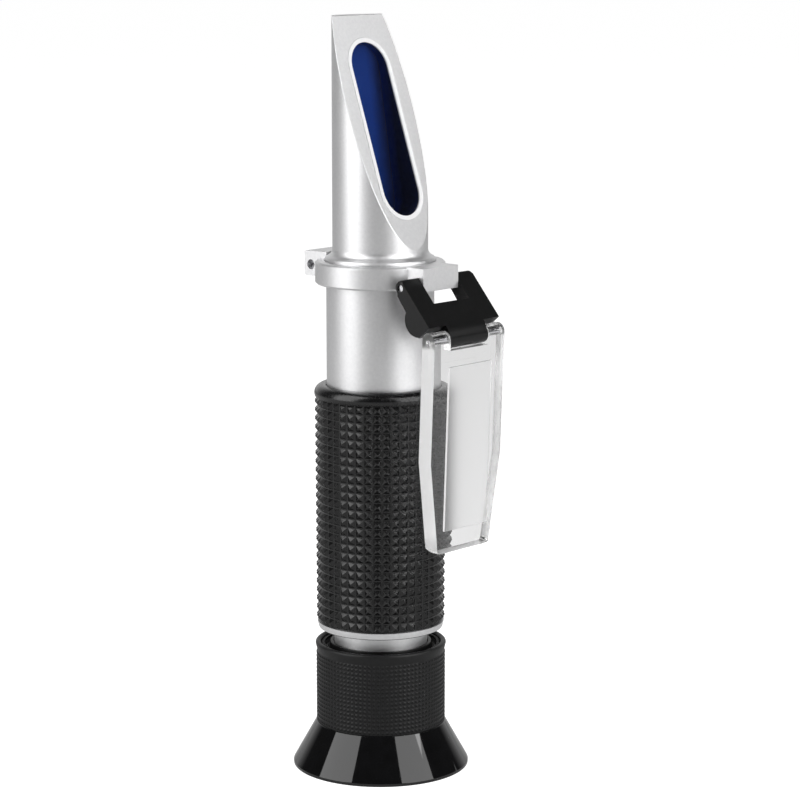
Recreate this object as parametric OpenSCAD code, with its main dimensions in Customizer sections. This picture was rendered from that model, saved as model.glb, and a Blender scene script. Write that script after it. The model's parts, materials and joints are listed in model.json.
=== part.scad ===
// Handheld refractometer with a flip-over daylight plate.
// It stands on the eyecup rim. +Z runs up the optical axis to the prism, and
// the slanted prism face, the hinge block and the daylight plate face -Y.

/* [Eyecup and focusing ring] */
// Radius of the eyecup at its open rim
cup_rim_r = 19.67; // [18.5:0.01:21]
// Radius of the eyecup where it meets the focusing ring
cup_top_r = 14.6; // [14.5:0.01:15.5]
// Height of the eyecup's flared part
cup_h = 10; // [9.8:0.1:10.2]
// Wall thickness of the eyecup's flare
cup_wall = 1.2; // [0.8:0.1:1.6]
// Outer radius of the rubber sleeve on the focusing ring
sleeve_r = 14.5; // [14.2:0.01:15]
// Outer radius of the bead at the top of the sleeve
bead_r = 14.62; // [14.5:0.01:15.2]
// Outer radius of the focusing ring under its sleeve
ring_r = 13.4; // [12.8:0.01:13.8]
// Height of the sleeve's top
sleeve_top = 28.4; // [28:0.1:28.8]

/* [Eyepiece optics] */
// Outer radius of the sliding lens tube
tube_r = 8.96; // [8.9:0.01:9]
// Radius of the lenses in the tube
eye_lens_r = 7.9; // [7.6:0.01:8.1]
// Free radius in front of the lenses
eye_stop_r = 7; // [6.5:0.1:7.2]
// Rise of the curved faces of the lenses
eye_lens_sag = 1.5; // [1:0.1:2]

/* [Barrel and grip] */
// Outer radius of the barrel
barrel_r = 11.88; // [11.6:0.01:12.1]
// Bore radius of the barrel
barrel_bore_r = 10.4; // [10.3:0.01:10.6]
// Outer radius of the neck that the focusing ring runs on
neck_r = 10.42; // [10.4:0.01:10.45]
// Radius of the end flange at its upper edge
flange_r = 14.15; // [13.9:0.01:14.3]
// Height of the end flange's lower face
flange_z = 31.62; // [31.5:0.01:31.8]
// Height of the end flange's upper face
grip_z0 = 33.14; // [33:0.01:33.3]
// Height of the grip's top
grip_z1 = 86.6; // [84:0.1:89]
// Radius of the grip at its lower end
grip_r0 = 14.4; // [14.2:0.01:14.8]
// Radius of the grip at its upper end
grip_r1 = 14.65; // [14.4:0.01:15]

/* [Collar] */
// Outer radius of the collar
collar_r = 14.3; // [14.1:0.01:14.35]
// Height of the collar's lower face
collar_z0 = 109; // [108.8:0.1:109.1]
// Height of the collar's upper face
collar_z1 = 114; // [113.8:0.1:114.2]
// Half the width of the hinge block and of the rear lug
block_w2 = 5.7; // [5.5:0.05:5.7]
// How far the hinge block's front face stands from the axis
block_s = 17.63; // [17.5:0.01:17.9]
// How far the rear lug's back face stands from the axis
lug_s = 17.54; // [17.3:0.01:18]
// Radius of the tapped hole through the rear lug
lug_hole_r = 1.1; // [0.9:0.05:1.1]

/* [Prism housing] */
// Radius of the nose that holds the prism
nose_r = 10.5; // [10.4:0.01:10.7]
// Height of the nose's flat top
nose_top = 167.1; // [165:0.1:169]
// Height of the slanted face's lowest point
face_z = 117.2; // [117:0.1:117.6]
// Distance of that lowest point from the axis
face_s = 10.45; // [10.4:0.01:10.5]
// Angle between the slanted face and the axis
face_angle = 18.97; // [18.7:0.01:19.2]
// Half the width of the prism window
window_r = 5.65; // [5.4:0.05:5.8]
// Distance up the face from its lowest point to the window's lower end
window_lo = 7.55; // [7:0.05:8]
// Distance up the face from its lowest point to the window's upper end
window_hi = 46.6; // [45:0.1:47]
// Width of the sealing bead round the window
seal_w = 0.95; // [0.7:0.05:1]

/* [Yoke] */
// Distance of the yoke's hinge pin from the axis
pin_s = 16.15; // [16.1:0.01:16.2]
// Height of the yoke's hinge pin
pin_z = 110.35; // [110.3:0.01:110.4]
// Half the width of the yoke
yoke_w2 = 11.5; // [11:0.1:12]
// Angle of the yoke's front face from the vertical, hanging open
yoke_angle = 40.56; // [40:0.01:41]
// Radius of the rounded heel of the yoke
heel_r = 3.58; // [3.4:0.01:3.6]
// Half the width of the knuckle that carries the plate
knuckle_w2 = 6.15; // [5.9:0.05:6.2]

/* [Daylight plate] */
// Distance of the plate's hinge from the axis, hanging open
plate_s = 24; // [23.95:0.01:24.05]
// Height of the plate's hinge, hanging open
plate_z = 99.5; // [99.45:0.01:99.55]
// Thickness of the plate
plate_t = 3.94; // [3.6:0.01:3.96]
// Half the width of the plate at its hinge
plate_w2 = 11.5; // [11:0.1:12]
// Half the width of the plate at its free end
plate_end_w2 = 8.5; // [8:0.1:9]
// Length of the plate below its hinge
plate_l = 46.5; // [45:0.1:47]
// Length below the hinge at which the sides start to taper
plate_kink = 26.3; // [24:0.1:28]
// Lean of the plate towards the grip, hanging open
plate_tilt = 2.2; // [1.5:0.1:2.5]
// Half the width of the raised matt pad
pad_w2 = 6.9; // [6.5:0.1:7.2]
// Height of the raised matt pad
pad_h = 0.5; // [0.3:0.05:0.5]

/* [Hidden] */

$fn = 72;
// Overlap of a cutting tool past the face that it cuts
cut = 1;
// Larger than the whole object
big = 400;

// Colours
silver = [0.78, 0.78, 0.79];
black = [0.06, 0.06, 0.065];
rubber = [0.05, 0.05, 0.055];
glass = [0.75, 0.85, 0.9, 0.5];
brass = [0.8, 0.65, 0.3];
steel = [0.6, 0.6, 0.62];

// Eyecup: its rim is a flat ring, and its spigot plugs into the focusing ring
cup_rim_w = 0.95;
cup_lip_h = 0.9;
cup_floor_z = 8;
cup_spigot_r = 10.1;
cup_spigot_top = 12.3;
cup_bore_r = 8.3;
cup_edge = 0.35;

// Focusing ring: it turns on the neck and carries the lens tube by its flange
ring_bore_r = 10.5;
ring_shoulder_r = 9.05;
ring_shoulder_z0 = 14.6;
ring_shoulder_z1 = 15.7;
ring_top = 27.6;
ring_edge = 0.5;
sleeve_bead_h = 2.6;

// Lens tube and what it holds, from the eye upwards
tube_z0 = 12.4;
tube_z1 = 34;
tube_flange_r = 10;
tube_flange_z = 14.5;
eye_seat_z = 13.2;
eye_lens_edge = 1.8;
field_lens_z = 28.6;
field_lens_edge = 1.8;
retainer_h = 1.6;
slot_w2 = 0.65;
slot_z0 = 24;
slot_z1 = 29.5;

// Neck
neck_z0 = 18.4;
neck_bore_r = 9;
neck_spigot_z = 39;
flange_taper = 0.32;
oring_z = 20;
oring_r = 0.45;
oring_groove_r = 9.55;
oring_groove_w2 = 0.5;
guide_z = 27.5;
guide_r = 0.6;
guide_x0 = 8.05;
guide_x1 = 10.35;

// Grip
grip_rim_h = 2.7;
grip_round = 1.1;

// Scale disc and its cell
reticle_r = 8.5;
reticle_t = 1.5;
cell_z0 = 46;
cell_seat_z = 47.5;
cell_top = 51.5;
cell_free_r = 7.6;
reticle_ring_h = 1.5;

// Temperature compensation: a bimetal strip carries the objective cell
anchor_z0 = 70;
anchor_z1 = 74;
anchor_bore_r = 7.8;
strip_t = 0.6;
strip_w2 = 2.5;
strip_y = 8.6;
strip_z0 = 70.4;
strip_z1 = 100.4;
strip_screw_r = 0.8;
strip_screw_head_r = 1.3;
strip_screw_head_h = 0.6;
strip_screw_l = 2;
objective_z0 = 95.5;
objective_z1 = 101;
objective_cell_r = 9.2;
objective_r = 6.8;
objective_free_r = 6;
objective_seat_z = 96.5;
objective_edge = 2;
objective_sag = 0.9;
objective_ring_h = 1;
stop_z0 = 102.4;
stop_z1 = 103.4;
stop_r = 5.5;

// Nose: spigot in the barrel, base in the collar, curved shoulder, slanted face
nose_spigot_z = 104;
nose_base_z = 109.3;
nose_base_r = 12.25;
nose_shoulder_r = 1;
nose_shoulder_rise = 0.1;
nose_cove_r = 1.8;
nose_arc_gap = 2;
nose_bore_r = 6;
nose_bore_top = 121;
prism_back_s = 7.6;
prism_depth = 30;
prism_sink = 0.25;
seal_depth = 0.5;
seal_proud = 0.05;
finger_w2 = 0.8;
finger_s = 16.5;
finger_z0 = 110.5;
finger_z1 = 113.3;
finger_room = 0.5;

// Collar
collar_edge = 0.4;
lug_z0 = 109.75;
lug_z1 = 115.3;
lug_round = 0.5;
screw_s = 15.6;
screw_z = 112.25;
screw_clear = 0.07;
screw_r = lug_hole_r - screw_clear;
screw_slot_w = 0.4;
screw_slot_d = 0.6;
screw_recess = 1.1;
screw_gap = 0.05;

// Yoke, in its own plane: x runs down the front face, y stands out from it
pin_r = 0.75;
pin_clear = 0.04;
pin_inset = 0.4;
yoke_inner_w2 = 5.8;
boss_r = 1.7;
yoke_front = 1.25;
yoke_start = -1;
yoke_end = 11.2;
heel_at = [8.14, -0.49];
crossbar_from = 5.55;
crossbar_back = -2.6;
knuckle_r = 1.9;
knuckle_root = 1;
knuckle_blend = 0.7;
knuckle_front_angle = 25;
knuckle_back_angle = 37;

// Daylight plate
plate_pin_r = 0.6;
plate_pin_inset = 0.6;
ear_w0 = 6.3;
slot_drop = 2.1;
pad_top = 5.6;
pad_end = 41.5;
plate_end_round = 0.8;

// Lean of the line from the hinge pin to the plate's hinge, in the yoke's plane
knuckle_at = [
  (plate_s - pin_s) * sin(yoke_angle) + (pin_z - plate_z) * cos(yoke_angle),
  (plate_s - pin_s) * cos(yoke_angle) - (pin_z - plate_z) * sin(yoke_angle)
];

// Points of an arc round a centre, from one angle to another
function arc(c, r, a0, a1, n = 6) = [
  for (i = [0:n]) c + r * [cos(a0 + (a1 - a0) * i / n), sin(a0 + (a1 - a0) * i / n)]
];

// Sphere radius of a cap with a given rise over a given base radius
function cap_radius(base, rise) = (base * base + rise * rise) / (2 * rise);

module tube(r_out, r_in, z0, z1) {
  difference() {
    translate([0, 0, z0])
      cylinder(r = r_out, h = z1 - z0);
    translate([0, 0, z0 - cut])
      cylinder(r = r_in, h = z1 - z0 + 2 * cut);
  }
}

// Lens with a straight edge and one domed face, the dome towards +Z
module domed_lens(r, free_r, edge, rise) {
  ball_r = cap_radius(free_r, rise);
  half = asin(free_r / ball_r);
  rotate_extrude()
    polygon(concat(
      [[0, 0], [r, 0], [r, edge]],
      arc([0, edge + rise - ball_r], ball_r, 90 - half, 90, 8)
    ));
}

// Places its children on the slanted face: x across, y up the face, z outwards
module on_face() {
  translate([0, -face_s, face_z])
    rotate([90 - face_angle, 0, 0])
      children();
}

// Window outline on the slanted face, grown by a margin
module window_outline(grow = 0) {
  lo = window_lo + window_r;
  hi = window_hi - window_r;
  translate([0, lo])
    circle(r = window_r + grow);
  translate([0, hi])
    circle(r = window_r + grow);
  translate([-window_r - grow, lo])
    square([2 * (window_r + grow), hi - lo]);
}

// Places its children in the yoke's plane, extruded along X about the hinge pin
module in_yoke(x0, x1) {
  translate([0, -pin_s, pin_z])
    rotate([180 - yoke_angle, 0, 0])
      rotate([0, -90, 0])
        translate([0, 0, -x1])
          linear_extrude(height = x1 - x0)
            children();
}

// Places its children on the plate: x across, -z down the plate, -y its pad side
module on_plate() {
  translate([0, -plate_s, plate_z])
    rotate([plate_tilt, 0, 0])
      children();
}

// Cylinder along X between two values of x
module rod(r, x0, x1) {
  translate([x0, 0, 0])
    rotate([0, 90, 0])
      cylinder(r = r, h = x1 - x0);
}

module eyecup() {
  color(black)
    rotate_extrude()
      polygon([
        [cup_rim_r - cup_rim_w, 0],
        [cup_rim_r, 0],
        [cup_rim_r, cup_lip_h],
        [cup_top_r, cup_h - cup_edge],
        [cup_top_r - cup_edge, cup_h],
        [cup_spigot_r, cup_h],
        [cup_spigot_r, cup_spigot_top],
        [cup_bore_r, cup_spigot_top],
        [cup_bore_r, cup_floor_z],
        [cup_top_r - cup_wall, cup_floor_z]
      ]);
}

module focus_ring() {
  color(black)
    rotate_extrude()
      polygon([
        [cup_spigot_r, cup_h],
        [ring_r, cup_h],
        [ring_r, ring_top - ring_edge],
        [ring_r - ring_edge, ring_top],
        [ring_bore_r + ring_edge, ring_top],
        [ring_bore_r, ring_top - ring_edge],
        [ring_bore_r, ring_shoulder_z1],
        [ring_shoulder_r, ring_shoulder_z1],
        [ring_shoulder_r, ring_shoulder_z0],
        [cup_spigot_r, ring_shoulder_z0]
      ]);
}

module focus_rubber() {
  bead_round = (bead_r - ring_r) / 2;
  bead_mid = ring_r + bead_round;
  color(rubber)
    rotate_extrude()
      polygon(concat(
        [
          [ring_r, cup_h],
          [sleeve_r, cup_h],
          [sleeve_r, sleeve_top - sleeve_bead_h],
          [bead_r, sleeve_top - sleeve_bead_h + ring_edge]
        ],
        arc([bead_mid, sleeve_top - bead_round], bead_round, 0, 180)
      ));
}

module lens_tube() {
  color(black)
    difference() {
      union() {
        translate([0, 0, tube_z0])
          cylinder(r = tube_r, h = tube_z1 - tube_z0);
        translate([0, 0, tube_z0])
          cylinder(r = tube_flange_r, h = tube_flange_z - tube_z0);
      }
      translate([0, 0, eye_seat_z])
        cylinder(r = eye_lens_r, h = tube_z1 - eye_seat_z + cut);
      translate([0, 0, tube_z0 - cut])
        cylinder(r = eye_stop_r, h = 2 * cut + eye_seat_z - tube_z0);
      translate([eye_lens_r - cut, -slot_w2, slot_z0])
        cube([tube_r - eye_lens_r + 2 * cut, 2 * slot_w2, slot_z1 - slot_z0]);
    }
}

module eye_lens() {
  color(glass)
    translate([0, 0, eye_seat_z])
      domed_lens(eye_lens_r, eye_stop_r, eye_lens_edge, eye_lens_sag);
}

module lens_spacer() {
  color(black)
    tube(eye_lens_r, eye_stop_r, eye_seat_z + eye_lens_edge, field_lens_z);
}

module field_lens() {
  color(glass)
    translate([0, 0, field_lens_z + field_lens_edge])
      mirror([0, 0, 1])
        domed_lens(eye_lens_r, eye_stop_r, field_lens_edge, eye_lens_sag);
}

module lens_retaining_ring() {
  z0 = field_lens_z + field_lens_edge;
  color(steel)
    tube(eye_lens_r, eye_stop_r, z0, z0 + retainer_h);
}

module focus_neck() {
  color(silver)
    difference() {
      rotate_extrude()
        polygon([
          [neck_bore_r, neck_z0],
          [neck_r, neck_z0],
          [neck_r, oring_z - oring_groove_w2],
          [oring_groove_r, oring_z - oring_groove_w2],
          [oring_groove_r, oring_z + oring_groove_w2],
          [neck_r, oring_z + oring_groove_w2],
          [neck_r, flange_z],
          [flange_r - flange_taper, flange_z],
          [flange_r, grip_z0],
          [barrel_bore_r, grip_z0],
          [barrel_bore_r, neck_spigot_z],
          [neck_bore_r, neck_spigot_z]
        ]);
      translate([0, 0, guide_z])
        rod(guide_r, neck_bore_r - cut, neck_r + cut);
    }
}

module focus_oring() {
  color(rubber)
    translate([0, 0, oring_z])
      rotate_extrude()
        translate([oring_groove_r + oring_r, 0])
          circle(r = oring_r, $fn = 24);
}

// Headless screw whose tip runs in the lens tube's slot and stops it turning
module guide_screw() {
  color(steel)
    translate([0, 0, guide_z])
      difference() {
        rod(guide_r, guide_x0, guide_x1);
        translate([guide_x1 - screw_slot_w, -guide_r - cut, -screw_slot_w / 4])
          cube([2 * screw_slot_w, 2 * (guide_r + cut), screw_slot_w / 2]);
      }
}

module barrel() {
  color(silver)
    tube(barrel_r, barrel_bore_r, grip_z0, nose_base_z);
}

module rubber_grip() {
  color(rubber)
    rotate_extrude()
      polygon(concat(
        [
          [barrel_r, grip_z0],
          [grip_r0, grip_z0],
          [grip_r1, grip_z1 - grip_rim_h]
        ],
        arc([grip_r1 - grip_round, grip_z1 - grip_round], grip_round, 0, 90),
        [[barrel_r, grip_z1]]
      ));
}

module reticle_cell() {
  color(black)
    difference() {
      tube(barrel_bore_r, cell_free_r, cell_z0, cell_top);
      translate([0, 0, cell_seat_z])
        cylinder(r = reticle_r, h = cell_top - cell_seat_z + cut);
    }
}

module reticle() {
  color(glass)
    translate([0, 0, cell_seat_z])
      cylinder(r = reticle_r, h = reticle_t);
}

module reticle_ring() {
  z0 = cell_seat_z + reticle_t;
  color(steel)
    tube(reticle_r, cell_free_r, z0, z0 + reticle_ring_h);
}

// Half-space behind the strip, cut off the anchor and the objective cell
module strip_flat(z0, z1) {
  translate([-big / 2, strip_y, z0 - cut])
    cube([big, big, z1 - z0 + 2 * cut]);
}

// Clamps the strip's fixed end to the barrel
module strip_anchor() {
  color(steel)
    difference() {
      tube(barrel_bore_r, anchor_bore_r, anchor_z0, anchor_z1);
      translate([-strip_w2, strip_y, anchor_z0 - cut])
        cube([2 * strip_w2, big, anchor_z1 - anchor_z0 + 2 * cut]);
      at_strip_screws()
        screw_shank();
    }
}

// Puts its children at the two screws, each pointing inwards from the strip
module at_strip_screws() {
  for (z = [(anchor_z0 + anchor_z1) / 2, (objective_z0 + objective_z1) / 2])
    translate([0, strip_y + strip_t, z])
      rotate([90, 0, 0])
        children();
}

module screw_shank() {
  cylinder(r = strip_screw_r, h = strip_screw_l);
}

module bimetal_strip() {
  color(brass)
    difference() {
      translate([-strip_w2, strip_y, strip_z0])
        cube([2 * strip_w2, strip_t, strip_z1 - strip_z0]);
      at_strip_screws()
        screw_shank();
    }
}

module strip_screws() {
  color(steel)
    at_strip_screws() {
      screw_shank();
      difference() {
        translate([0, 0, -strip_screw_head_h])
          cylinder(r = strip_screw_head_r, h = strip_screw_head_h);
        translate([-big / 2, -screw_slot_w / 2, -2 * strip_screw_head_h])
          cube([big, screw_slot_w, 1.5 * strip_screw_head_h]);
      }
    }
}

module objective_cell() {
  color(black)
    difference() {
      tube(objective_cell_r, objective_free_r, objective_z0, objective_z1);
      translate([0, 0, objective_seat_z])
        cylinder(r = objective_r, h = objective_z1);
      strip_flat(objective_z0, objective_z1);
      at_strip_screws()
        screw_shank();
    }
}

module objective_lens() {
  color(glass)
    translate([0, 0, objective_seat_z])
      domed_lens(objective_r, objective_free_r, objective_edge, objective_sag);
}

module objective_ring() {
  z0 = objective_seat_z + objective_edge;
  color(steel)
    tube(objective_r, objective_free_r, z0, z0 + objective_ring_h);
}

module field_stop() {
  color(black)
    tube(barrel_bore_r, stop_r, stop_z0, stop_z1);
}

// Solid part of the collar, before its holes
module collar_blank() {
  rotate_extrude()
    polygon([
      [nose_base_r, collar_z0],
      [collar_r - collar_edge, collar_z0],
      [collar_r, collar_z0 + collar_edge],
      [collar_r, collar_z1 - collar_edge],
      [collar_r - collar_edge, collar_z1],
      [nose_base_r, collar_z1]
    ]);
  difference() {
    union() {
      translate([-block_w2, -block_s, collar_z0])
        cube([2 * block_w2, block_s, collar_z1 - collar_z0]);
      rear_lug();
    }
    cylinder(r = nose_base_r, h = big);
  }
}

// Rear lug with rounded corners, its length along X
module rear_lug() {
  w = lug_s - lug_round;
  translate([-block_w2, 0, 0])
    rotate([90, 0, 90])
      linear_extrude(height = 2 * block_w2)
        polygon(concat(
          [[0, lug_z0]],
          arc([w, lug_z0 + lug_round], lug_round, -90, 0, 4),
          arc([w, lug_z1 - lug_round], lug_round, 0, 90, 4),
          [[0, lug_z1]]
        ));
}

module collar() {
  color(silver)
    difference() {
      collar_blank();
      translate([0, -pin_s, pin_z])
        rod(pin_r, -block_w2 - cut, block_w2 + cut);
      translate([0, screw_s, screw_z])
        rod(lug_hole_r, -block_w2 - cut, block_w2 + cut);
      translate([-finger_w2 - finger_room, 0, finger_z0 - finger_room])
        cube([
          2 * (finger_w2 + finger_room),
          finger_s + finger_room,
          finger_z1 - finger_z0 + 2 * finger_room
        ]);
    }
}

// Slotted grub screw along X, its slot towards -X
module grub_screw(x0, x1) {
  difference() {
    rod(screw_r, x0, x1);
    translate([x0 - cut, -screw_r - cut, -screw_slot_w / 2])
      cube([screw_slot_d + cut, 2 * (screw_r + cut), screw_slot_w]);
  }
}

module calibration_screw() {
  color(steel)
    translate([0, screw_s, screw_z])
      grub_screw(-block_w2 + screw_recess, -finger_w2 - screw_gap);
}

module locking_screw() {
  color(steel)
    translate([0, screw_s, screw_z])
      mirror([1, 0, 0])
        grub_screw(-block_w2 + screw_recess, -finger_w2 - screw_gap);
}

// Outer shape of the prism housing, before the slanted face is cut. Its shoulder runs
// into a hollow cove, and the two arcs share a tangent.
module housing_blank() {
  shoulder_at = [nose_base_r - nose_shoulder_r, collar_z1 + nose_shoulder_rise];
  reach = nose_shoulder_r + nose_cove_r;
  meet = acos((nose_r + nose_cove_r - shoulder_at[0]) / reach);
  cove_at = shoulder_at + reach * [cos(meet), sin(meet)];
  rotate_extrude()
    polygon(concat(
      [
        [0, nose_spigot_z],
        [barrel_bore_r, nose_spigot_z],
        [barrel_bore_r, nose_base_z],
        [nose_base_r, nose_base_z],
        [nose_base_r, collar_z1]
      ],
      arc(shoulder_at, nose_shoulder_r, 0, meet),
      arc(cove_at, nose_cove_r, 180 + meet - nose_arc_gap, 180),
      [[nose_r, nose_top], [0, nose_top]]
    ));
}

module prism_blank() {
  intersection() {
    on_face()
      translate([0, 0, -prism_depth])
        linear_extrude(height = prism_depth - prism_sink)
          window_outline();
    translate([-big / 2, prism_back_s - big, nose_bore_top])
      cube([big, big, big]);
  }
}

module prism_housing() {
  // The face's plane leaves the nose this far below the face's lowest point. The cut
  // stops there, so that it doesn't reach the shoulder.
  run_out = (nose_r - face_s) / sin(face_angle);
  color(silver)
    difference() {
      union() {
        housing_blank();
        translate([-finger_w2, nose_bore_r + cut, finger_z0])
          cube([2 * finger_w2, finger_s - nose_bore_r - cut, finger_z1 - finger_z0]);
      }
      on_face()
        translate([-big / 2, -run_out, 0])
          cube([big, big, big]);
      prism_blank();
      on_face()
        translate([0, 0, -seal_depth])
          linear_extrude(height = seal_depth + cut)
            window_outline(seal_w);
      translate([0, 0, nose_spigot_z - cut])
        cylinder(r = nose_bore_r, h = nose_bore_top - nose_spigot_z + cut);
    }
}

module prism() {
  color([0.08, 0.14, 0.42])
    prism_blank();
}

module prism_seal() {
  color([0.92, 0.92, 0.93])
    on_face()
      translate([0, 0, -seal_depth])
        linear_extrude(height = seal_depth + seal_proud)
          difference() {
            window_outline(seal_w);
            window_outline();
          }
}

module hinge_pin() {
  color(steel)
    translate([0, -pin_s, pin_z])
      rod(pin_r, -yoke_w2 + pin_inset, yoke_w2 - pin_inset);
}

// Keeps what lies behind the yoke's front face and above its end face
module yoke_trim(from) {
  intersection() {
    children();
    translate([from, -big / 2])
      square([yoke_end - from, big / 2 + yoke_front]);
  }
}

module arm_outline() {
  yoke_trim(-big / 2) {
    circle(r = boss_r);
    translate(heel_at)
      circle(r = heel_r);
    polygon([
      [0, -boss_r],
      [heel_at[0] - heel_r, crossbar_back + yoke_front / 2],
      [heel_at[0], crossbar_back],
      [yoke_end, crossbar_back],
      [yoke_end, yoke_front],
      [yoke_start, yoke_front]
    ]);
  }
}

module crossbar_outline() {
  yoke_trim(crossbar_from) {
    translate(heel_at)
      circle(r = heel_r);
    translate([crossbar_from, crossbar_back])
      square([yoke_end - crossbar_from, yoke_front - crossbar_back]);
  }
}

module knuckle_outline() {
  front = knuckle_at + knuckle_r * [sin(knuckle_front_angle), cos(knuckle_front_angle)];
  back = knuckle_at - knuckle_r * [sin(knuckle_back_angle), cos(knuckle_back_angle)];
  translate(knuckle_at)
    circle(r = knuckle_r);
  polygon([
    [yoke_end - knuckle_root, crossbar_back],
    back,
    knuckle_at,
    front,
    [yoke_end + knuckle_blend, yoke_front],
    [yoke_end - knuckle_root, yoke_front]
  ]);
}

module yoke() {
  color(black)
    difference() {
      union() {
        for (side = [-1, 1])
          in_yoke(min(side * yoke_inner_w2, side * yoke_w2), max(side * yoke_inner_w2, side * yoke_w2))
            arm_outline();
        in_yoke(-yoke_inner_w2, yoke_inner_w2)
          crossbar_outline();
        in_yoke(-knuckle_w2, knuckle_w2)
          knuckle_outline();
      }
      translate([0, -pin_s, pin_z])
        rod(pin_r + pin_clear, -yoke_w2 - cut, yoke_w2 + cut);
      translate([0, -plate_s, plate_z])
        rod(plate_pin_r, -knuckle_w2 - cut, knuckle_w2 + cut);
    }
}

module plate_pin() {
  color(steel)
    translate([0, -plate_s, plate_z])
      rod(plate_pin_r, -plate_w2 + plate_pin_inset, plate_w2 - plate_pin_inset);
}

// Outline of the plate across its width and down its length
module plate_outline() {
  r = plate_end_round;
  polygon(concat(
    [[-plate_w2, 0], [-plate_w2, -plate_kink]],
    arc([-plate_end_w2 + r, -plate_l + r], r, 180, 270, 4),
    arc([plate_end_w2 - r, -plate_l + r], r, 270, 360, 4),
    [[plate_w2, -plate_kink], [plate_w2, 0]]
  ));
}

// Lays a plate outline out as a slab from one depth to another
module plate_slab(y0, y1) {
  translate([0, y1, 0])
    rotate([90, 0, 0])
      linear_extrude(height = y1 - y0)
        children();
}

module daylight_plate() {
  half = plate_t / 2;
  color([0.86, 0.88, 0.9, 0.45])
    on_plate()
      difference() {
        union() {
          plate_slab(-half, half)
            plate_outline();
          rod(half, -plate_w2, plate_w2);
          plate_slab(-half - pad_h, 0)
            translate([-pad_w2, -pad_end])
              square([2 * pad_w2, pad_end - pad_top]);
        }
        translate([-ear_w0, -big / 2, -slot_drop])
          cube([2 * ear_w0, big, big]);
        rod(plate_pin_r + pin_clear, -plate_w2 - cut, plate_w2 + cut);
      }
}

eyecup();
focus_ring();
focus_rubber();
lens_tube();
eye_lens();
lens_spacer();
field_lens();
lens_retaining_ring();
focus_neck();
focus_oring();
guide_screw();
barrel();
rubber_grip();
reticle_cell();
reticle();
reticle_ring();
strip_anchor();
bimetal_strip();
strip_screws();
objective_cell();
objective_lens();
objective_ring();
field_stop();
collar();
calibration_screw();
locking_screw();
prism_housing();
prism();
prism_seal();
hinge_pin();
yoke();
plate_pin();
daylight_plate();
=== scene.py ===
import json
import math

import bmesh
import bpy
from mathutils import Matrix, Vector

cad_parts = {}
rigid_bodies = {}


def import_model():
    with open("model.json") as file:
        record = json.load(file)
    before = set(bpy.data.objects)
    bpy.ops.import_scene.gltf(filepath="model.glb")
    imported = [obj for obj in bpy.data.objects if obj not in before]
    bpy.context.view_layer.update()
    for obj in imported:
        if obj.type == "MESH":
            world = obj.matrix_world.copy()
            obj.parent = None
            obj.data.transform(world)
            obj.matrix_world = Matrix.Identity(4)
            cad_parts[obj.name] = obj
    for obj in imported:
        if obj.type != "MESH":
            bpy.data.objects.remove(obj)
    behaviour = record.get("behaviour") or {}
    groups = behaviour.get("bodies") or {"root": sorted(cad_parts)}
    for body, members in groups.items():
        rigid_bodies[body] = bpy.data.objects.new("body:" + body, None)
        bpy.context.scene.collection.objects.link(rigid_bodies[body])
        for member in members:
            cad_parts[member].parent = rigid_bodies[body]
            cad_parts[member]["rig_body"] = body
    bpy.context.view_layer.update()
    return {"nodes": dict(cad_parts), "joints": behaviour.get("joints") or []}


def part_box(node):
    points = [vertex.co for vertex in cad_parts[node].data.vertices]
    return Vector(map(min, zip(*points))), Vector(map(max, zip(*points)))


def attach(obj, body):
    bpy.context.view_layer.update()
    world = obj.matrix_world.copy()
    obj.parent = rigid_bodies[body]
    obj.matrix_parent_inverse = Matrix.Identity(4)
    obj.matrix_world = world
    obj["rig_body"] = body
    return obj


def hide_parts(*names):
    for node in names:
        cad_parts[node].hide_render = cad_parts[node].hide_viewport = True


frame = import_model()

MM = 0.001


def node_box(node):
    """Lowest and highest corner of a CAD node, in millimetres."""
    low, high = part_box(node)
    return low / MM, high / MM


def joint_at(name):
    """Where a joint's axis crosses the middle plane, in millimetres."""
    joint = next(j for j in frame["joints"] if j["name"] == name)
    return Vector(joint["pos_m"]) / MM


# ---------------------------------------------------------------- shader helpers

def new_material(name):
    """An empty Principled material, and its tree and shader."""
    mat = bpy.data.materials.new(name)
    mat.use_nodes = True
    tree = mat.node_tree
    return mat, tree, tree.nodes["Principled BSDF"]


def object_point(tree, stretch=(1, 1, 1)):
    """Object coordinates, in metres, stretched along each axis."""
    point = tree.nodes.new("ShaderNodeTexCoord").outputs["Object"]
    mapping = tree.nodes.new("ShaderNodeMapping")
    mapping.inputs["Scale"].default_value = stretch
    tree.links.new(point, mapping.inputs["Vector"])
    return mapping.outputs["Vector"]


def noise(tree, grain, detail=2.0, stretch=(1, 1, 1)):
    """Noise whose grains are about this many millimetres across."""
    node = tree.nodes.new("ShaderNodeTexNoise")
    node.inputs["Scale"].default_value = 1 / (grain * MM)
    node.inputs["Detail"].default_value = detail
    tree.links.new(object_point(tree, stretch), node.inputs["Vector"])
    return node.outputs["Fac"]


def ramp(tree, value, low, high, value_low=0.3, value_high=0.7):
    """Maps a value from [value_low, value_high] to [low, high], numbers or colours."""
    if isinstance(low, (int, float)):
        node = tree.nodes.new("ShaderNodeMapRange")
        node.inputs["From Min"].default_value = value_low
        node.inputs["From Max"].default_value = value_high
        node.inputs["To Min"].default_value = low
        node.inputs["To Max"].default_value = high
        tree.links.new(value, node.inputs["Value"])
        return node.outputs["Result"]
    node = tree.nodes.new("ShaderNodeValToRGB")
    first, last = node.color_ramp.elements
    first.position, first.color = value_low, (*low, 1)
    last.position, last.color = value_high, (*high, 1)
    tree.links.new(value, node.inputs["Fac"])
    return node.outputs["Color"]


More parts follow.
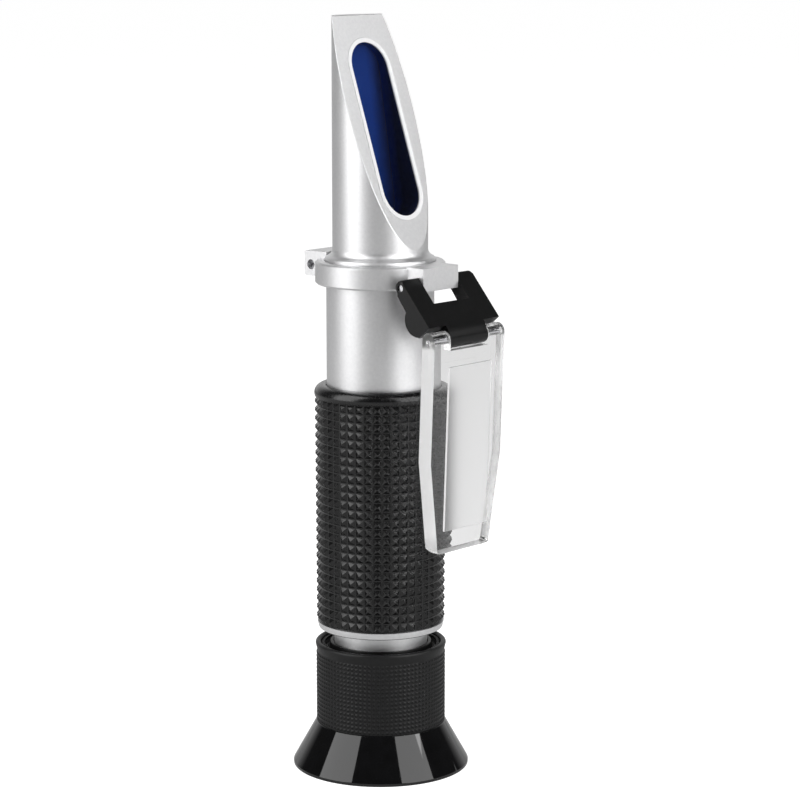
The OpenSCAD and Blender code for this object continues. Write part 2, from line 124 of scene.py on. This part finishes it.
def bump(tree, shader, height, depth, strength=1.0):
    """Raises the surface by a height field, depth in millimetres."""
    node = tree.nodes.new("ShaderNodeBump")
    node.inputs["Distance"].default_value = depth * MM
    node.inputs["Strength"].default_value = strength
    tree.links.new(height, node.inputs["Height"])
    tree.links.new(node.outputs["Normal"], shader.inputs["Normal"])


def set_inputs(shader, **values):
    for name, value in values.items():
        shader.inputs[name.replace("_", " ")].default_value = value


# ---------------------------------------------------------------- materials

def satin_aluminium():
    """Fine blasted aluminium: an even satin with a grain that just shows."""
    rough, tint = 0.44, 0.76
    mat, tree, shader = new_material("satin_aluminium")
    light, dark = (tint, tint, tint * 1.008), (tint * 0.94, tint * 0.94, tint * 0.95)
    tree.links.new(ramp(tree, noise(tree, 0.7, 3), dark, light), shader.inputs["Base Color"])
    spread = ramp(tree, noise(tree, 0.5, 2), rough - 0.04, rough + 0.04)
    tree.links.new(spread, shader.inputs["Roughness"])
    bump(tree, shader, noise(tree, 0.28, 2), 0.006, 0.8)
    set_inputs(shader, Metallic=1.0)
    return mat


def turned_metal(name, colour, rough=0.28):
    """Turned or rolled metal with faint tool lines."""
    mat, tree, shader = new_material(name)
    dulling = 0.85
    dull = tuple(dulling * c for c in colour)
    lines = noise(tree, 0.35, 1, (0.15, 1, 1))
    tree.links.new(ramp(tree, lines, dull, colour), shader.inputs["Base Color"])
    tree.links.new(ramp(tree, lines, rough - 0.06, rough + 0.06), shader.inputs["Roughness"])
    bump(tree, shader, lines, 0.003)
    set_inputs(shader, Metallic=1.0)
    return mat


def moulded_black(name, shade, rough, grain, depth, specular=0.5):
    """Black rubber or plastic: shade is its reflectance, grain its texture in millimetres."""
    mat, tree, shader = new_material(name)
    low, high = (0.8 * shade,) * 3, (1.2 * shade, 1.2 * shade, 1.3 * shade)
    tree.links.new(ramp(tree, noise(tree, 4 * grain, 3), low, high), shader.inputs["Base Color"])
    spread = ramp(tree, noise(tree, 2 * grain, 2), rough - 0.05, rough + 0.05)
    tree.links.new(spread, shader.inputs["Roughness"])
    bump(tree, shader, noise(tree, grain, 2), depth, 0.7)
    set_inputs(shader, Specular_IOR_Level=specular)
    return mat


def glossy_black():
    """Polished black plastic of the eyecup."""
    mat, tree, shader = new_material("glossy_black")
    shade = ramp(tree, noise(tree, 3, 2), (0.003, 0.003, 0.0032), (0.0045, 0.0045, 0.005))
    tree.links.new(shade, shader.inputs["Base Color"])
    tree.links.new(ramp(tree, noise(tree, 1.5, 2), 0.035, 0.06), shader.inputs["Roughness"])
    bump(tree, shader, noise(tree, 6, 1), 0.004, 0.4)
    return mat


def lens_glass():
    """Coated optical glass."""
    mat, tree, shader = new_material("lens_glass")
    coat = ramp(tree, noise(tree, 8, 1), (0.86, 0.93, 0.97), (0.93, 0.95, 0.99))
    tree.links.new(coat, shader.inputs["Base Color"])
    tree.links.new(ramp(tree, noise(tree, 2, 1), 0.0, 0.02), shader.inputs["Roughness"])
    set_inputs(shader, Transmission_Weight=1.0, IOR=1.52)
    return mat


def let_light_through(mat, tree, shader, share):
    """Lets lamps shine through a clear material, as bent light can't be sampled.

    share is the part of the light that gets through.
    """
    clear = tree.nodes.new("ShaderNodeBsdfTransparent")
    clear.inputs["Color"].default_value = (share, share, share, 1)
    path = tree.nodes.new("ShaderNodeLightPath")
    mix = tree.nodes.new("ShaderNodeMixShader")
    tree.links.new(path.outputs["Is Shadow Ray"], mix.inputs["Fac"])
    tree.links.new(shader.outputs["BSDF"], mix.inputs[1])
    tree.links.new(clear.outputs["BSDF"], mix.inputs[2])
    tree.links.new(mix.outputs["Shader"], tree.nodes["Material Output"].inputs["Surface"])
    return mat


def clear_acrylic(name, tint, rough_low, rough_high, grain=1.5):
    """Clear moulded acrylic, frosted where the roughness is high. Grain is in millimetres."""
    mat, tree, shader = new_material(name)
    low, high = (tint * 0.985,) * 3, (tint, tint, tint * 1.004)
    tree.links.new(ramp(tree, noise(tree, 5, 2), low, high), shader.inputs["Base Color"])
    spread = ramp(tree, noise(tree, grain, 2), rough_low, rough_high)
    tree.links.new(spread, shader.inputs["Roughness"])
    set_inputs(shader, Transmission_Weight=1.0, IOR=1.49)
    return let_light_through(mat, tree, shader, 0.9)


def prism_window():
    """Polished measuring face of the prism."""
    mat, tree, shader = new_material("prism_window")
    tint = ramp(tree, noise(tree, 6, 1), (0.90, 0.93, 1.0), (0.95, 0.97, 1.0))
    tree.links.new(tint, shader.inputs["Base Color"])
    set_inputs(shader, Transmission_Weight=1.0, IOR=1.52, Roughness=0.0)
    return let_light_through(mat, tree, shader, 0.9)


def prism_paint_and_shading(name, axis, near, far, from_mm, to_mm):
    """Paint on the prism's hidden faces, blending along an axis from one colour to another as
    painted shade.
    """
    mat, tree, shader = new_material(name)
    split = tree.nodes.new("ShaderNodeSeparateXYZ")
    tree.links.new(object_point(tree), split.inputs["Vector"])
    # Painted shade: the colour blends from near to far along the axis
    depth = ramp(tree, split.outputs[axis], 0.0, 1.0, from_mm * MM, to_mm * MM)
    colour = ramp(tree, depth, near, far, 0.0, 1.0)
    tree.links.new(colour, shader.inputs["Base Color"])
    tree.links.new(ramp(tree, noise(tree, 1.2, 2), 0.45, 0.6), shader.inputs["Roughness"])
    set_inputs(shader, Specular_IOR_Level=0.2)
    return mat


def pale_seal():
    """Smooth white bead round the prism window."""
    mat, tree, shader = new_material("pale_seal")
    shade = ramp(tree, noise(tree, 1.0, 3), (0.84, 0.84, 0.85), (0.90, 0.90, 0.90))
    tree.links.new(shade, shader.inputs["Base Color"])
    tree.links.new(ramp(tree, noise(tree, 0.6, 2), 0.3, 0.45), shader.inputs["Roughness"])
    bump(tree, shader, noise(tree, 0.4, 2), 0.004, 0.6)
    return mat


ALUMINIUM = satin_aluminium()
STEEL = turned_metal("turned_steel", (0.62, 0.62, 0.64))
# Painted shade: darker than the aluminium, for the polished chamfer under the flange
POLISHED_AND_SHADED = turned_metal("polished_shaded_edge", (0.55, 0.55, 0.56), 0.12)
BRASS = turned_metal("rolled_brass", (0.80, 0.62, 0.28))
RUBBER = moulded_black("grip_rubber", 0.004, 0.25, 0.30, 0.008, 0.5)
SLEEVE_RUBBER = moulded_black("sleeve_rubber", 0.006, 0.45, 0.25, 0.012, 0.3)
RING_PLASTIC = moulded_black("ring_plastic", 0.004, 0.40, 0.5, 0.004, 0.2)
YOKE_PLASTIC = moulded_black("yoke_plastic", 0.004, 0.33, 0.22, 0.006, 0.25)
MATT_BLACK = moulded_black("matt_black", 0.02, 0.6, 0.3, 0.005)
GLOSSY = glossy_black()
LENS = lens_glass()
ACRYLIC = clear_acrylic("clear_acrylic", 0.95, 0.0, 0.02)
SATIN_ACRYLIC = clear_acrylic("satin_acrylic", 0.97, 0.34, 0.40, 2.0)
FROSTED = clear_acrylic("frosted_acrylic", 0.96, 0.30, 0.34, 2.0)
WINDOW = prism_window()
SEAL = pale_seal()


# ---------------------------------------------------------------- mesh helpers

def add_piece(name, mesh, materials, sharp_angle=30):
    """Links a mesh as a smooth-shaded piece whose edges past an angle stay sharp."""
    piece = bpy.data.objects.new(name, mesh)
    bpy.context.scene.collection.objects.link(piece)
    for mat in materials:
        mesh.materials.append(mat)
    mesh.shade_smooth()
    mesh.set_sharp_from_angle(angle=math.radians(sharp_angle))
    return piece


def stand_for(piece, node):
    """The piece replaces a CAD node and rides on its body."""
    body = frame["nodes"][node]["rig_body"]
    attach(piece, body)
    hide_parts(node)
    return piece


def round_sharp_edges(bm, angle, width, segments, chosen=lambda middle: True, clamp=True):
    """Rounds the chosen edges that are sharper than an angle, width in millimetres."""
    sharp = [
        e for e in bm.edges
        if e.is_manifold and e.calc_face_angle(0) > math.radians(angle)
        and chosen((e.verts[0].co + e.verts[1].co) / 2 / MM)
    ]
    bmesh.ops.bevel(
        bm, geom=sharp, offset=width * MM, offset_type="OFFSET", segments=segments,
        profile=0.5, affect="EDGES", clamp_overlap=clamp,
    )


def softened(node, name, materials, width, angle=28, material_of=None, reshape=None,
             wide=None, clamp_wide=True):
    """A copy of a CAD node with its sharp edges rounded by width millimetres.

    reshape changes the mesh first, and wide is (radius, chosen) for edges that take a
    larger radius than the rest. Clamping shrinks that radius where edges are short.
    """
    mesh = frame["nodes"][node].data.copy()
    mesh.materials.clear()
    bm = bmesh.new()
    bm.from_mesh(mesh)
    weld, flat = 0.002, math.radians(0.4)
    bmesh.ops.remove_doubles(bm, verts=bm.verts, dist=weld * MM)
    bmesh.ops.dissolve_limit(bm, angle_limit=flat, verts=bm.verts, edges=bm.edges)
    if reshape:
        reshape(bm)
    if wide:
        radius, chosen = wide
        round_sharp_edges(bm, angle, radius, 6, chosen, clamp_wide)
    round_sharp_edges(bm, angle, width, 3)
    if material_of:
        bm.normal_update()
        for face in bm.faces:
            face.material_index = material_of(face.calc_center_median() / MM, face.normal)
    bm.to_mesh(mesh)
    bm.free()
    if mesh.has_custom_normals:
        mesh.attributes.remove(mesh.attributes["custom_normal"])
    piece = add_piece(name, mesh, materials, 40)
    weighted = piece.modifiers.new("weighted_normals", "WEIGHTED_NORMAL")
    weighted.keep_sharp = True
    return piece


def rounded_outline(corners, steps=5):
    """Closed outline through (r, z, fillet) corners, each rounded by its fillet."""
    points = []
    for i, (r, z, fillet) in enumerate(corners):
        here = Vector((r, z))
        back = (Vector(corners[i - 1][:2]) - here).normalized()
        ahead = (Vector(corners[(i + 1) % len(corners)][:2]) - here).normalized()
        if not fillet:
            points.append(here)
            continue
        half = back.angle(ahead) / 2
        centre = here + (back + ahead).normalized() * (fillet / math.sin(half))
        first = here + back * (fillet / math.tan(half)) - centre
        last = here + ahead * (fillet / math.tan(half)) - centre
        # slerp gives unit vectors, whatever the lengths that it is given
        points += [centre + first.slerp(last, k / steps) * fillet for k in range(steps + 1)]
    return points


def lathe(name, corners, materials, segments=256):
    """Turns a closed outline of (r, z, fillet) corners, in millimetres, about the axis."""
    outline = rounded_outline(corners)
    count = len(outline)
    verts = []
    for k in range(segments):
        a = 2 * math.pi * k / segments
        verts += [(r * MM * math.cos(a), r * MM * math.sin(a), z * MM) for r, z in outline]
    faces = []
    for k in range(segments):
        here, ahead = k * count, (k + 1) % segments * count
        for i in range(count):
            j = (i + 1) % count
            faces.append((here + i, ahead + i, ahead + j, here + j))
    mesh = bpy.data.meshes.new(name)
    mesh.from_pydata(verts, [], faces)
    fix_normals(mesh)
    return add_piece(name, mesh, materials)


def fix_normals(mesh):
    bm = bmesh.new()
    bm.from_mesh(mesh)
    bmesh.ops.recalc_face_normals(bm, faces=bm.faces)
    bm.to_mesh(mesh)
    bm.free()


def studded_sleeve(name, material, columns, rows, z0, z1, samples, peak, height, phase, ends):
    """Sleeve with rows of raised studs between z0 and z1.

    samples are the places across one stud, in shares of its pitch, and ends holds the
    plain (r, z) outlines below and above the studs, which close the sleeve on its bore.
    """
    share = {u: max(0.0, 1 - abs(u) / samples[-1]) for u in samples}
    angles = [2 * math.pi * (c + u) / columns + phase for c in range(columns) for u in samples]
    across = [u for _ in range(columns) for u in samples]
    below, above = ends
    rings = [[(r, z)] * len(angles) for r, z in below]
    for row in range(rows):
        for v in samples:
            z = z0 + (z1 - z0) * (row + 0.5 + v) / rows
            top = peak(z)
            rings.append([(top - height * (1 - min(share[u], share[v])), z) for u in across])
    rings += [[(r, z)] * len(angles) for r, z in above]
    verts = [
        (r * MM * math.cos(a), r * MM * math.sin(a), z * MM)
        for ring in rings
        for a, (r, z) in zip(angles, ring)
    ]
    width = len(angles)
    faces = []
    for i in range(len(rings)):
        low, high = i * width, (i + 1) % len(rings) * width
        for k in range(width):
            n = (k + 1) % width
            a, b, c, d = low + k, low + n, high + n, high + k
            # The diagonal of a cell runs from its groove to its peak
            radii = [Vector(verts[p][:2]).length for p in (a, b, c, d)]
            if radii[0] + radii[2] > radii[1] + radii[3]:
                faces += [(a, b, c), (a, c, d)]
            elif radii[0] + radii[2] < radii[1] + radii[3]:
                faces += [(b, c, d), (b, d, a)]
            else:
                faces.append((a, b, c, d))
    mesh = bpy.data.meshes.new(name)
    mesh.from_pydata(verts, [], faces)
    fix_normals(mesh)
    return add_piece(name, mesh, [material], 32)


# ---------------------------------------------------------------- grip and focusing ring

def grip():
    """Studded rubber sleeve with a smooth rounded rim."""
    low, high = node_box("rubber_grip")
    bore = node_box("barrel")[1].x
    foot_r, top_r, foot, rim, stud = 14.4, high.x, 0.15, 2.75, 0.72
    z0, z1 = low.z + foot, high.z - rim

    def peak(z):
        return foot_r + (top_r - foot_r) * (z - low.z) / (high.z - low.z)

    # Radius of the rim's bend, and the number of steps that it is drawn in
    bend, steps = 1.9, 8
    below = [(bore, low.z), (foot_r - stud, low.z)]
    above = [(top_r - stud, z1), (top_r - 0.12, z1 + 0.25)]
    above += [
        (top_r - bend * (1 - math.cos(a)), high.z - bend * (1 - math.sin(a)))
        for a in (math.pi / 2 * k / steps for k in range(steps + 1))
    ]
    above += [(bore + 0.35, high.z), (bore, high.z - 0.3)]
    piece = studded_sleeve(
        "grip_sleeve", RUBBER, columns=44, rows=26, z0=z0, z1=z1,
        samples=(-0.5, -0.44, -0.05, 0.05, 0.44), peak=peak, height=stud,
        phase=math.radians(-1.5), ends=(below, above),
    )
    stand_for(piece, "rubber_grip")


def focus_sleeve():
    """Finely knurled rubber sleeve with a smooth bead round its top."""
    low, high = node_box("focus_rubber")
    bore = node_box("focus_ring")[1].x
    sleeve_r, bead_r, knurl, foot, bead = 14.5, high.x, 0.26, 0.15, 2.3
    z0, z1 = low.z + foot, high.z - bead
    groove = sleeve_r - knurl
    below = [(bore, low.z), (groove, low.z), (groove, z0 - 0.05)]
    above = [(groove, z1 + 0.05), (groove + 0.05, z1 + 0.25)]
    middle, bend, steps = 0.5 * (bead_r + bore), 0.5 * (bead_r - bore), 12
    above += [
        (middle + bend * math.cos(a), high.z - bend * (1 - math.sin(a)))
        for a in (math.pi * k / steps for k in range(steps + 1))
    ]
    piece = studded_sleeve(
        "focus_sleeve", SLEEVE_RUBBER, columns=90, rows=17, z0=z0, z1=z1,
        samples=(-0.5, -0.36, 0.0, 0.36), peak=lambda z: sleeve_r, height=knurl,
        phase=0.0, ends=(below, above),
    )
    stand_for(piece, "focus_rubber")


def focus_ring():
    """Black ring under the sleeve, with a dished lip round the neck.

    The lip stands above the CAD ring, and the inner shoulder carries the lens tube.
    """
    low, high = node_box("focus_ring")
    seat, lip = node_box("lens_tube")[0].z, 0.65
    corners = [
        (10.1, low.z, 0), (high.x, low.z, 0), (high.x, high.z - 0.6, 0), (12.75, high.z - 0.1, 0.2),
        (12.3, high.z - 1.2, 0.4), (11.5, high.z - 1.2, 0.25), (11.3, high.z + lip, 0.2),
        (10.55, high.z + lip, 0.2), (10.5, seat + 3.3, 0), (9.05, seat + 3.3, 0.1),
        (9.05, seat + 2.2, 0.1), (10.1, seat + 2.2, 0),
    ]
    piece = lathe("focus_ring_body", corners, [RING_PLASTIC])
    stand_for(piece, "focus_ring")


def ring_teeth():
    """Toothed edge of the focusing ring, which shows just inside the sleeve's bead."""
    teeth, inner, outer, height, proud, edge = 84, 12.55, 13.2, 0.55, 0.25, 0.06
    start, end = 0.2, 0.8
    top = node_box("focus_ring")[1].z + proud
    bm = bmesh.new()
    for k in range(teeth):
        a0 = 2 * math.pi * (k + start) / teeth
        a1 = 2 * math.pi * (k + end) / teeth
        ring = [(inner, a0), (outer, a0), (outer, a1), (inner, a1)]
        low, high = [
            [bm.verts.new((r * MM * math.cos(a), r * MM * math.sin(a), z * MM)) for r, a in ring]
            for z in (top - height, top)
        ]
        bm.faces.new(low[::-1])
        bm.faces.new(high)
        for i in range(4):
            j = (i + 1) % 4
            bm.faces.new((low[i], low[j], high[j], high[i]))
    bmesh.ops.bevel(
        bm, geom=list(bm.edges), offset=edge * MM, segments=2, profile=0.5, affect="EDGES",
    )
    mesh = bpy.data.meshes.new("focus_ring_teeth")
    bm.to_mesh(mesh)
    bm.free()
    piece = add_piece("focus_ring_teeth", mesh, [RING_PLASTIC])
    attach(piece, "eyepiece")


def eyecup():
    """Glossy flared cup with a thin lip round its open rim."""
    low, high = node_box("eyecup")
    corners = [
        (high.x - 0.95, low.z, 0.15), (high.x, low.z, 0.2), (high.x, 0.7, 0.2),
        (14.55, 9.9, 0.06), (14.4, 10.0, 0.03), (10.1, 10.0, 0), (10.1, high.z, 0.1),
        (8.3, high.z, 0.1), (8.3, 8.0, 0.3), (13.4, 8.0, 0.6),
    ]
    stand_for(lathe("eyecup_flare", corners, [GLOSSY]), "eyecup")


# ---------------------------------------------------------------- nose, prism and hinge

# Slanted face of the nose, as part.scad has it: its lean, a point on its middle line in
# millimetres, and the directions up the face and out of it
FACE_ANGLE = math.radians(18.97)
FACE_POINT = Vector((0, -10.45, 117.2))
FACE_UP = Vector((0, math.sin(FACE_ANGLE), math.cos(FACE_ANGLE)))
FACE_OUT = Vector((0, -math.cos(FACE_ANGLE), math.sin(FACE_ANGLE)))


def nose():
    """Aluminium nose, black inside the prism's pocket."""
    pocket_half, pocket_floor, pocket_reach = 5.7, -0.55, 9.9
    pocket_lo, pocket_hi = 7, 47

    def material_of(centre, normal):
        """Black in the pocket, but not on the outer wall behind it."""
        place = centre - FACE_POINT
        inside = abs(centre.x) < pocket_half and place.dot(FACE_OUT) < pocket_floor
        inside = inside and math.hypot(centre.x, centre.y) < pocket_reach
        return int(inside and pocket_lo < place.dot(FACE_UP) < pocket_hi)

    seam_z0, seam_z1 = node_box("collar")[0].z, FACE_POINT.z - 3
    base_r, seam, tolerance = 12.25, 0.12, 0.05

    def open_seam(bm):
        """Draws the base in by a hair, so that its joint with the collar shows."""
        for vert in bm.verts:
            x, y, z = vert.co / MM
            if seam_z0 < z < seam_z1 and abs(math.hypot(x, y) - base_r) < tolerance:
                vert.co.x *= 1 - seam / base_r
                vert.co.y *= 1 - seam / base_r

    # The slanted face meets the nose at only 19 degrees at its foot
    edge_angle = 15
    piece = softened(
        "prism_housing", "nose", [ALUMINIUM, MATT_BLACK], 0.14, edge_angle,
        material_of=material_of, reshape=open_seam,
    )
    stand_for(piece, "prism_housing")


def prism():
    """Glass prism: its window is polished, its sides and back are painted, with a painted blue
    reflection and painted shade.
    """
    low, high = node_box("prism")
    back_y, half = high.y, high.x
    # Painted reflection and shade: blue stands for the prism's bluish reflection, navy for dark
    # paint deepened into shade
    navy_paint_and_shade, blue_reflection = (0.006, 0.009, 0.036), (0.003, 0.034, 0.220)
    sides = prism_paint_and_shading("prism_sides", "Y", navy_paint_and_shade, blue_reflection, back_y - 5, back_y)
    back = prism_paint_and_shading("prism_back", "X", blue_reflection, navy_paint_and_shade, 0.3 * half, 1.15 * half)

    def material_of(centre, normal):
        if normal.dot(FACE_OUT) > 0.9:
            return 0
        return 2 if normal.y > 0.9 else 1

    piece = softened("prism", "prism_glass", [WINDOW, sides, back], 0.02, material_of=material_of)
    # A hair smaller than its pocket, so that their faces don't coincide
    shrink_x, shrink_y, middle_y = 0.996, 0.998, (low.y + high.y) / 2 * MM
    for vert in piece.data.vertices:
        vert.co.x = vert.co.x * shrink_x
        vert.co.y = middle_y + (vert.co.y - middle_y) * shrink_y
    stand_for(piece, "prism")


def hinge_side():
    """Collar, neck, seal and yoke with their edges broken as machined or moulded."""
    stand_for(softened("collar", "collar_ring", [ALUMINIUM], 0.16), "collar")
    # Lower edge of the end flange, and where its chamfer begins
    flange_r, flange_z, tolerance, chamfer_reach, facing_down = 13.83, 31.62, 0.1, 13.2, -0.35

    def under_flange(middle):
        reach = math.hypot(middle.x, middle.y)
        return abs(reach - flange_r) < tolerance and abs(middle.z - flange_z) < tolerance

    # The down-facing chamfer takes the polished metal, whose darker colour is painted shade under
    # the flange
    def on_chamfer(centre, normal):
        reach = math.hypot(centre.x, centre.y)
        return int(reach > chamfer_reach and normal.z < facing_down)

    neck = softened(
        "focus_neck", "neck_and_flange", [ALUMINIUM, POLISHED_AND_SHADED], 0.10,
        material_of=on_chamfer, wide=(0.3, under_flange),
    )
    stand_for(neck, "focus_neck")
    stand_for(softened("prism_seal", "window_seal", [SEAL], 0.03), "prism_seal")
    outer, pin = node_box("yoke")[1].x - 0.05, joint_at("yoke_hinge")
    boss_reach, hole_reach = 2.2, 1.0

    def on_boss(middle):
        reach = Vector((0, middle.y, middle.z)) - pin
        return abs(middle.x) > outer and hole_reach < reach.length < boss_reach

    yoke = softened(
        "yoke", "yoke_link", [YOKE_PLASTIC], 0.22, wide=(0.8, on_boss), clamp_wide=False,
    )
    stand_for(yoke, "yoke")


def daylight_plate():
    """Clear plate with a frosted raised pad on the side that meets the prism."""
    hinge = joint_at("plate_hinge")
    tilt = math.radians(2.2)
    out = Vector((0, -math.cos(tilt), -math.sin(tilt)))
    down = Vector((0, math.sin(tilt), -math.cos(tilt)))
    half, draft, foot_draft, foot = 1.97, 0.5, 0.3, 44
    side_x, pad_x, pad_out, pin_reach, facing = 7.5, 7.2, 2.4, 0.9, 0.95

    def taper_back(bm):
        """Draws the sides and the foot of the back half in, as a mould needs."""
        cut = bm.verts[:] + bm.edges[:] + bm.faces[:]
        bmesh.ops.bisect_plane(bm, geom=cut, dist=1e-8, plane_co=hinge * MM, plane_no=out)
        for vert in bm.verts:
            place = vert.co / MM - hinge
            share = max(0.0, -place.dot(out) / half)
            if abs(place.x) > side_x:
                vert.co.x -= math.copysign(draft * share * MM, place.x)
            if place.dot(down) > foot:
                vert.co -= down * (foot_draft * share * MM)

    def on_rim(middle):
        place = middle - hinge
        off_pin = math.hypot(place.y, place.z) > pin_reach
        return off_pin and not (abs(place.x) < pad_x and place.dot(out) > half - 0.1)

    def material_of(centre, normal):
        """Satin on the sides and foot, frosted on the pad's top, and clear elsewhere."""
        if abs(normal.x) > facing or normal.dot(down) > facing:
            return 2
        proud = (centre - hinge).dot(out)
        return int(proud > pad_out and normal.dot(out) > facing)

    piece = softened(
        "daylight_plate", "plate_clear", [ACRYLIC, FROSTED, SATIN_ACRYLIC], 0.2,
        material_of=material_of, reshape=taper_back, wide=(0.4, on_rim),
    )
    stand_for(piece, "daylight_plate")


# ---------------------------------------------------------------- CAD nodes that stay

KEPT = {
    ALUMINIUM: ["barrel"],
    STEEL: ["hinge_pin", "plate_pin", "calibration_screw", "locking_screw", "guide_screw",
            "strip_anchor", "strip_screws", "reticle_ring", "objective_ring", "lens_retaining_ring"],
    BRASS: ["bimetal_strip"],
    RUBBER: ["focus_oring"],
    MATT_BLACK: ["lens_tube", "lens_spacer", "reticle_cell", "objective_cell", "field_stop"],
    LENS: ["eye_lens", "field_lens", "objective_lens", "reticle"],
}


def dress_kept_nodes():
    for mat, nodes in KEPT.items():
        for node in nodes:
            for place in frame["nodes"][node].material_slots:
                place.material = mat


# ---------------------------------------------------------------- studio

VIEW_YAW, VIEW_PITCH = math.radians(-48.079), math.radians(10.172)
TOWARDS_CAMERA = Vector((
    math.sin(VIEW_YAW) * math.cos(VIEW_PITCH),
    -math.cos(VIEW_YAW) * math.cos(VIEW_PITCH),
    math.sin(VIEW_PITCH),
))


def camera():
    """Camera at the photograph's angle; it looks along its own -Z."""
    right = Vector((math.cos(VIEW_YAW), math.sin(VIEW_YAW), 0))
    data = bpy.data.cameras.new("camera")
    data.lens, data.sensor_width = 123.31, 36.0
    data.clip_start, data.clip_end = 0.01, 100
    cam = bpy.data.objects.new("camera", data)
    aim = Vector((0, 0, 82.83)) + right * 4.317
    cam.location = (aim + TOWARDS_CAMERA * 605.9) * MM
    cam.rotation_euler = TOWARDS_CAMERA.to_track_quat("Z", "Y").to_euler()
    bpy.context.scene.collection.objects.link(cam)
    bpy.context.scene.camera = cam


def around(turn, lift=0.0):
    """Direction at an angle to the right of the camera's side, and above the horizon."""
    base = math.atan2(TOWARDS_CAMERA.y, TOWARDS_CAMERA.x) + math.radians(turn)
    rise = math.radians(lift)
    return Vector((math.cos(base) * math.cos(rise), math.sin(base) * math.cos(rise), math.sin(rise)))


def softbox(name, turn, lift, distance, width, height, radiance):
    """Area light aimed at the middle of the object. Angles are in degrees, sizes in metres."""
    data = bpy.data.lights.new(name, "AREA")
    data.shape, data.size, data.size_y = "RECTANGLE", width, height
    data.energy = radiance * math.pi * width * height
    lamp = bpy.data.objects.new(name, data)
    middle = Vector((0, 0, 0.08))
    direction = around(turn, lift)
    lamp.location = middle + direction * distance
    lamp.rotation_euler = direction.to_track_quat("Z", "Y").to_euler()
    bpy.context.scene.collection.objects.link(lamp)


def floor():
    """Plain pale floor that glows a little, so that it stays pale far away."""
    mesh = bpy.data.meshes.new("floor")
    half = 30.0
    corners = [(-half, -half, 0), (half, -half, 0), (half, half, 0), (-half, half, 0)]
    mesh.from_pydata(corners, [], [(0, 1, 2, 3)])
    obj = bpy.data.objects.new("floor", mesh)
    bpy.context.scene.collection.objects.link(obj)
    mat, tree, shader = new_material("pale_floor")
    set_inputs(shader, Base_Color=(0.40, 0.40, 0.40, 1), Roughness=0.9, Specular_IOR_Level=0.0)
    set_inputs(shader, Emission_Color=(1, 1, 1, 1))
    path = tree.nodes.new("ShaderNodeLightPath")
    through = ramp(tree, path.outputs["Is Transmission Ray"], 0.0, 0.42, 0, 1)
    seen = tree.nodes.new("ShaderNodeMath")
    seen.operation = "MAXIMUM"
    tree.links.new(path.outputs["Is Camera Ray"], seen.inputs[0])
    tree.links.new(through, seen.inputs[1])
    tree.links.new(ramp(tree, seen.outputs[0], 0.28, 0.95, 0, 1), shader.inputs["Emission Strength"])
    mesh.materials.append(mat)


def surroundings():
    """Dim studio, with a pale wall behind the object."""
    world = bpy.data.worlds.new("studio")
    bpy.context.scene.world = world
    world.use_nodes = True
    tree = world.node_tree
    place = tree.nodes.new("ShaderNodeTexCoord").outputs["Generated"]
    dot = tree.nodes.new("ShaderNodeVectorMath")
    dot.operation = "DOT_PRODUCT"
    dot.inputs[1].default_value = around(180)
    tree.links.new(place, dot.inputs[0])
    wall = ramp(tree, dot.outputs["Value"], 0.04, 0.9, 0.55, 0.9)
    background = tree.nodes["Background"]
    background.inputs["Color"].default_value = (1, 1, 1, 1)
    tree.links.new(wall, background.inputs["Strength"])


camera()
floor()
surroundings()
softbox("left_softbox", -66.5, 30, 0.95, 0.76, 1.25, 3.1)
softbox("right_softbox", 54.0, 30, 0.95, 0.70, 1.25, 3.1)
# Lights the slanted face from above what the eyecup mirrors and beside what the yoke does
softbox("side_panel", 86.0, 31, 0.95, 0.50, 0.10, 4.2)
softbox("low_panel", 97.5, 3, 0.95, 0.70, 0.18, 0.7)
bpy.context.scene.view_settings.view_transform = "Standard"

dress_kept_nodes()
grip()
focus_sleeve()
focus_ring()
ring_teeth()
eyecup()
nose()
prism()
hinge_side()
daylight_plate()
